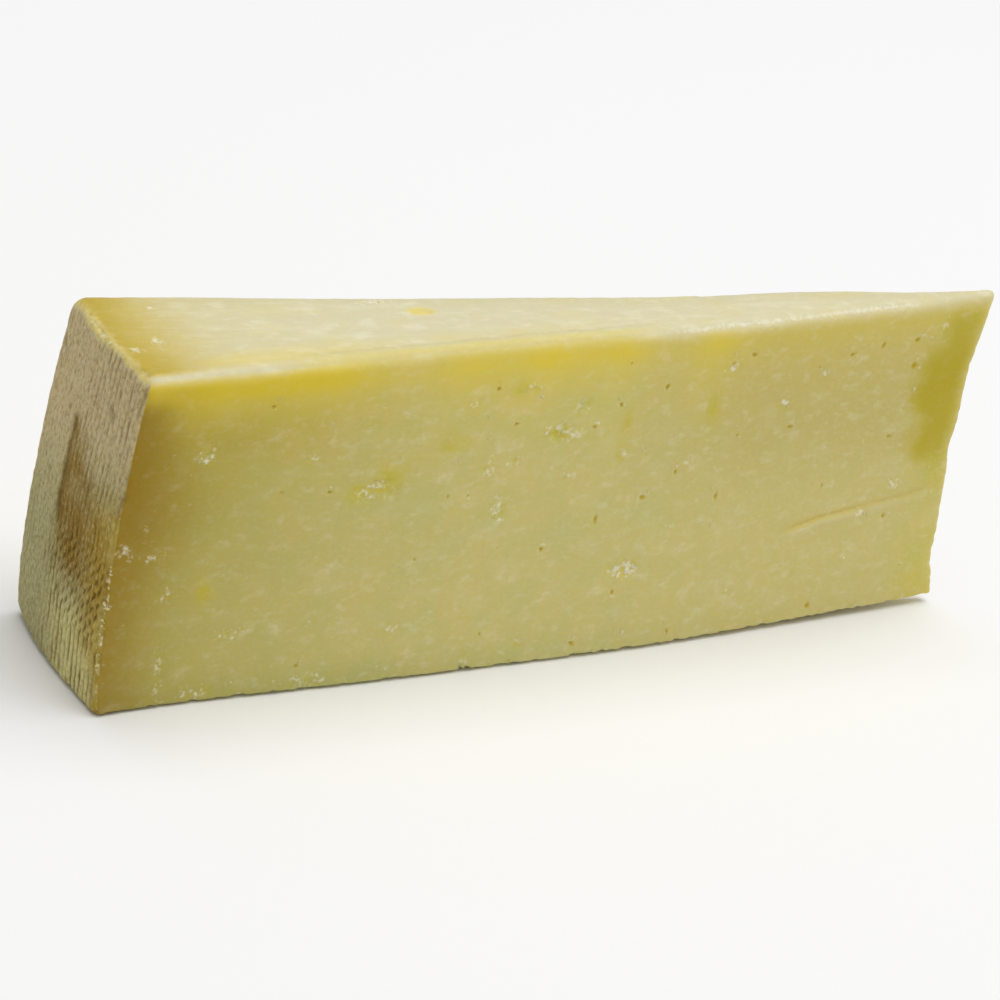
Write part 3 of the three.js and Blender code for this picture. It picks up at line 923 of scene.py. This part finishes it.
def chunk_mesh():
    """The fine mesh of the chunk, with its masks and a flat map of its sides, and where its frame starts."""
    back_eyes = scattered_eyes()
    box = fine_lattice(back_eyes)
    lattice = np.array([vertex.co for vertex in box.verts])
    mesh = bpy.data.meshes.new("cheese")
    box.to_mesh(mesh)
    box.free()
    skin = Skin(lattice)
    notch_point(skin)
    shift = (skin.points.min(axis=0) + skin.points.max(axis=0)) / 2 * (1, 1, 0)
    mesh.vertices.foreach_set("co", (skin.points - shift).ravel() * MM)
    mesh.update()
    normals = np.empty(len(lattice) * 3)
    mesh.vertices.foreach_get("normal", normals)
    add_grain(skin)
    add_eyes(skin, "front", FRONT_EYES, EYE_DEPTH)
    add_eyes(skin, "front", SLITS, SLIT_DEPTH)
    add_eyes(skin, "back", back_eyes, EYE_DEPTH)
    marks = (add_torn_patches, add_top_marks, add_crack, add_crumbly_edges, add_rind, add_paste_bands)
    for add_marks in marks:
        add_marks(skin)
    points = skin.points - shift + normals.reshape(-1, 3) * skin.relief[:, None]
    points[:, 2] = np.maximum(points[:, 2], 0)
    mesh.vertices.foreach_set("co", points.ravel() * MM)
    mesh.update()
    add_masks(mesh, skin.masks)
    add_flat_map(mesh, skin.flat)
    return mesh, Vector(shift)


def add_flat_map(mesh, flat):
    """Lays the sides out flat, each at the same scale."""
    corner = np.empty(len(mesh.loops), int)
    mesh.loops.foreach_get("vertex_index", corner)
    sides = np.empty(len(mesh.polygons), int)
    mesh.attributes["side"].data.foreach_get("value", sides)
    totals = np.empty(len(mesh.polygons), int)
    mesh.polygons.foreach_get("loop_total", totals)
    loop_sides = np.repeat(sides, totals)
    middle = np.array([WHEEL_RADIUS, RIM_WIDTH_BASE, RIM_HEIGHT]) / 2
    places = flat[corner] + middle
    spots = np.zeros((len(corner), 2))
    for name, (axis, _) in SIDES.items():
        here = loop_sides == NUMBER[name]
        spots[here] = np.delete(places[here], axis, axis=1) + MAP_PLACES[name]
    mesh.uv_layers.new(name="OFBake").data.foreach_set("uv", (spots / MAP_SIZE).ravel())


# Materials

def colour(red, foot_shade, blue):
    """A screen colour from 0 to 255 as the shader's linear colour."""
    shares = np.array([red, foot_shade, blue]) / 255
    linear = np.where(shares <= 0.04045, shares / 12.92, ((shares + 0.055) / 1.055) ** 2.4)
    return (*linear, 1.0)


class Graph:
    """Short calls for building a node material."""

    def __init__(self, name):
        self.material = bpy.data.materials.new(name)
        self.material.use_nodes = True
        self.material.node_tree.nodes.clear()
        self.shader = self.add("BsdfPrincipled")
        self.add("OutputMaterial", {"Surface": self.shader.outputs["BSDF"]})
        self.coordinates = self.add("TexCoord").outputs["Object"]

    def fill(self, node, values):
        """Sets a node's sockets, each to a plain value or linked to another node's output."""
        for name, value in values.items():
            if isinstance(value, bpy.types.NodeSocket):
                self.material.node_tree.links.new(value, node.inputs[name])
            else:
                node.inputs[name].default_value = value

    def add(self, kind, values=None, **settings):
        """A new node with these settings, and these values on its sockets."""
        node = self.material.node_tree.nodes.new("ShaderNode" + kind)
        for name, setting in settings.items():
            setattr(node, name, setting)
        self.fill(node, values or {})
        return node

    def mask(self, name):
        return self.add("Attribute", attribute_name=name).outputs["Fac"]

    def noise(self, size, stretch=(1, 1, 1), detail=2.0, roughness=0.5, seed=0.0):
        """Noise from 0 to 1 with features about this many millimetres across, drawn out along each axis."""
        scale = tuple(1 / (size * MM * part) for part in stretch)
        places = {"Vector": self.coordinates, "Location": (seed, seed, seed), "Scale": scale}
        spots = self.add("Mapping", places).outputs["Vector"]
        kind = {"Vector": spots, "Scale": 1.0, "Detail": detail, "Roughness": roughness}
        return self.add("TexNoise", kind).outputs["Fac"]

    def ramp(self, value, low, high, start=0.0, end=1.0):
        """Maps a value from low..high to start..end, smoothly."""
        ends = {"Value": value, "From Min": low, "From Max": high, "To Min": start, "To Max": end}
        return self.add("MapRange", ends, interpolation_type="SMOOTHSTEP").outputs["Result"]

    def mix(self, factor, first, second):
        """Blends two colours."""
        node = self.add("Mix", {"Factor": factor}, data_type="RGBA")
        colours = [number for number, socket in enumerate(node.inputs) if socket.type == "RGBA"]
        self.fill(node, {colours[0]: first, colours[1]: second})
        return next(socket for socket in node.outputs if socket.type == "RGBA")

    def layers(self, base, tones):
        """Lays colours over a base one after another, each where its mask is."""
        for mask, tone in tones.items():
            base = self.mix(self.mask(mask), base, tone)
        return base

    def math(self, operation, first, second):
        return self.add("Math", {0: first, 1: second}, operation=operation).outputs["Value"]

    def bump(self, height, distance, strength, below=None):
        """A normal bent by a height, on top of another bent one where there is one below."""
        node = self.add("Bump", {"Height": height, "Distance": distance * MM, "Strength": strength})
        if below is not None:
            self.fill(node, {"Normal": below})
        return node.outputs["Normal"]


PASTE_COOL = colour(206, 199, 126)
PASTE_WARM = colour(215, 200, 126)
PASTE_YELLOW = colour(241, 215, 43)
# Inside the eyes: darker, partly painted shade in the hollows
PASTE_DARK = colour(205, 181, 58)
PASTE_WHITE = colour(242, 237, 212)
# Colours of the paste by their masks, in the order in which they are laid on, below and above its pale marks
PASTE_GROUND = {
    "warm": PASTE_WARM,
    "rosy": colour(206, 191, 115),
    "foot_shade": colour(110, 150, 70),
    # The pale top and the strip under the top edges, partly painted sheen and highlight
    "pale": colour(221, 213, 173),
}
# Stains, and the painted glow and shade at the top edges and the point, and the painted shadow above the
# crack
PASTE_STAINS_AND_PAINTED_LIGHT = {
    "yellow": PASTE_YELLOW,
    "shade": colour(165, 150, 38),
    "lime": colour(203, 189, 18),
    "brown": colour(157, 127, 30),
    "olive": colour(193, 174, 43),
}
RIND_LOWER = colour(173, 167, 117)
RIND_TONES = {"pale": colour(202, 184, 138), "olive": colour(218, 208, 141), "brown": colour(144, 113, 38)}
RIND_AMBER = colour(176, 146, 52)
RIND_GAP = colour(96, 72, 18)
RIND_DUST = colour(226, 216, 172)
PASTE_ROUGHNESS = 0.48
RIND_ROUGHNESS = 0.85
GLOSS = 0.15
# How much light the paste lets in, how far in red, green and blue, and the unit of that in metres
SUBSURFACE = 0.35
SUBSURFACE_RADIUS = (1.0, 0.75, 0.2)
SUBSURFACE_SCALE = 3 * MM

# Marks in the pale paste: their noise's size, stretch, detail, roughness and seed, the noise where they start
# and are full, their strength and their colour
PALE_MARKS = [
    ((2.2, (7.0, 1.0, 1.0), 2.0, 0.5, 3.0), 0.5, 0.8, 0.3, PASTE_WHITE),
    ((5.0, (2.0, 1.0, 1.0), 2.0, 0.5, 5.0), 0.48, 0.7, 0.1, PASTE_YELLOW),
    ((2.4, (2.2, 1.2, 1.0), 3.0, 0.6, 4.0), 0.52, 0.7, 0.4, PASTE_WHITE),
]

# Specks in the paste: size in millimetres, the noise where they start and are full, and their strength
SPECKS = [(4.0, 0.45, 0.8, 0.1), (1.6, 0.5, 0.78, 0.24), (0.6, 0.42, 0.8, 0.1)]
SPECK_STRETCH = (1.7, 1.0, 1.0)


def paste_colour(graph):
    """Pale yellow paste with faint clouds and specks, and the bands and spots that the masks name."""
    clouds = graph.ramp(graph.noise(7, detail=3.0, seed=1.0), 0.3, 0.7)
    paste = graph.mix(clouds, PASTE_COOL, PASTE_WARM)
    paste = graph.layers(paste, PASTE_GROUND)
    for noise_kind, low, high, most, tone in PALE_MARKS:
        marks = graph.ramp(graph.noise(*noise_kind), low, high, 0.0, most)
        paste = graph.mix(graph.math("MULTIPLY", marks, graph.mask("pale")), paste, tone)
    paste = graph.layers(paste, PASTE_STAINS_AND_PAINTED_LIGHT)
    stained = graph.mask("brown")
    for name in ("olive", "yellow", "shade"):
        stained = graph.math("MAXIMUM", stained, graph.mask(name))
    clear = graph.ramp(stained, 0, 0.9, 1.0, 0.25)
    for size, low, high, most in SPECKS:
        specks = graph.ramp(graph.noise(size, SPECK_STRETCH, 3.0, 0.6, seed=size), low, high, 0.0, most)
        paste = graph.mix(graph.math("MULTIPLY", specks, clear), paste, PASTE_WHITE)
    paste = graph.layers(paste, {"dark": PASTE_DARK})
    white = graph.math("MULTIPLY", graph.mask("white"), 0.6)
    flakes = graph.math("ADD", graph.noise(0.7, seed=9.0), white)
    return graph.mix(graph.ramp(flakes, 0.66, 1.1, 0.0, 0.8), paste, PASTE_WHITE)


def rind_colour(graph):
    """Grey-brown rind, darker between the marks of the cloth's threads."""
    rind = graph.layers(RIND_LOWER, RIND_TONES)
    rind = graph.mix(graph.ramp(graph.mask("yellow"), 0, 1, 0.0, 0.8), rind, RIND_AMBER)
    grain = graph.noise(0.55, (1.0, 1.0, 1.6), 2.0, 0.6, seed=6.0)
    rind = graph.mix(graph.ramp(grain, 0.25, 0.58, 0.45, 0.0), rind, RIND_GAP)
    rind = graph.mix(graph.ramp(grain, 0.5, 0.8, 0.0, 0.35), rind, RIND_DUST)
    rind = graph.mix(graph.ramp(graph.mask("thread"), 0.95, 0.2, 0.0, 0.75), rind, RIND_GAP)
    return graph.layers(rind, {"dark": RIND_GAP})


def add_matt_surface(graph):
    """Weak gloss and a fine unevenness, the same on the chunk and its crumbs."""
    coarse = graph.bump(graph.noise(1.6, detail=3.0, seed=7.0), 0.15, 0.35)
    fine = graph.bump(graph.noise(0.5, detail=3.0, seed=8.0), 0.08, 0.4, coarse)
    graph.fill(graph.shader, {"Specular IOR Level": GLOSS, "Normal": fine})


def cheese_material():
    """Paste that lets a little light in, with its rind."""
    graph = Graph("cheese")
    rind = graph.mask("rind")
    graph.fill(graph.shader, {
        "Base Color": graph.mix(rind, paste_colour(graph), rind_colour(graph)),
        "Roughness": graph.ramp(rind, 0, 1, PASTE_ROUGHNESS, RIND_ROUGHNESS),
        "Subsurface Weight": SUBSURFACE,
        "Subsurface Radius": SUBSURFACE_RADIUS,
        "Subsurface Scale": SUBSURFACE_SCALE,
    })
    add_matt_surface(graph)
    return graph.material


def crumbs_material():
    """Paste in bits that are too small to let light in."""
    graph = Graph("crumbs")
    graph.fill(graph.shader, {"Base Color": paste_colour(graph), "Roughness": PASTE_ROUGHNESS})
    add_matt_surface(graph)
    return graph.material


# The scene around the chunk

def add_object(data):
    """Puts a mesh, a camera or a light in the scene under its own name."""
    thing = bpy.data.objects.new(data.name, data)
    bpy.context.collection.objects.link(thing)
    return thing


def add_aimed(data, at, direction, roll=0.0):
    """Puts a camera or a light at a place, looking along a direction and rolled about it."""
    thing = add_object(data)
    thing.location = at
    thing.rotation_mode = "QUATERNION"
    thing.rotation_quaternion = direction.to_track_quat("-Z", "Y") @ Quaternion((0, 0, 1), roll)
    return thing


def add_camera(shift):
    turn = math.radians(CAMERA_AZIMUTH)
    rise = math.radians(CAMERA_ELEVATION)
    back = Vector((math.sin(turn) * math.cos(rise), -math.cos(turn) * math.cos(rise), math.sin(rise)))
    data = bpy.data.cameras.new("camera")
    data.lens = CAMERA_LENS
    data.sensor_width = CAMERA_SENSOR
    at = (CAMERA_AT - shift) * MM
    bpy.context.scene.camera = add_aimed(data, at, -back, math.radians(CAMERA_ROLL))


def add_key_light():
    data = bpy.data.lights.new("key", "AREA")
    data.size = KEY_SIZE
    data.energy = KEY_POWER
    add_aimed(data, KEY_AT, KEY_TARGET - KEY_AT)


def add_floor():
    mesh = bpy.data.meshes.new("floor")
    ends = ((-1, -1), (1, -1), (1, 1), (-1, 1))
    mesh.from_pydata([(x * FLOOR_REACH, y * FLOOR_REACH, -FLOOR_DROP) for x, y in ends], [], [(0, 1, 2, 3)])
    floor = add_object(mesh)
    graph = Graph("floor")
    surface = {"Base Color": FLOOR_COLOUR, "Roughness": FLOOR_ROUGHNESS, "Specular IOR Level": 0.0}
    graph.fill(graph.shader, surface)
    mesh.materials.append(graph.material)


def add_surroundings():
    world = bpy.data.worlds.new("studio")
    world.use_nodes = True
    background = world.node_tree.nodes["Background"]
    background.inputs["Color"].default_value = (1, 1, 1, 1)
    background.inputs["Strength"].default_value = WORLD_STRENGTH
    bpy.context.scene.world = world
    bpy.context.scene.view_settings.view_transform = "Standard"
    add_key_light()
    add_floor()


def add_piece(mesh, material):
    """Puts a mesh in the scene as a piece that goes with the chunk."""
    mesh.materials.append(material)
    piece = add_object(mesh)
    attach(piece, "root")
    return piece


cheese_mesh, SHIFT = chunk_mesh()
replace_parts(add_piece(cheese_mesh, cheese_material()), "cheese_chunk")
add_piece(crumbs_mesh(cheese_mesh, SHIFT), crumbs_material())

add_camera(SHIFT)
add_surroundings()
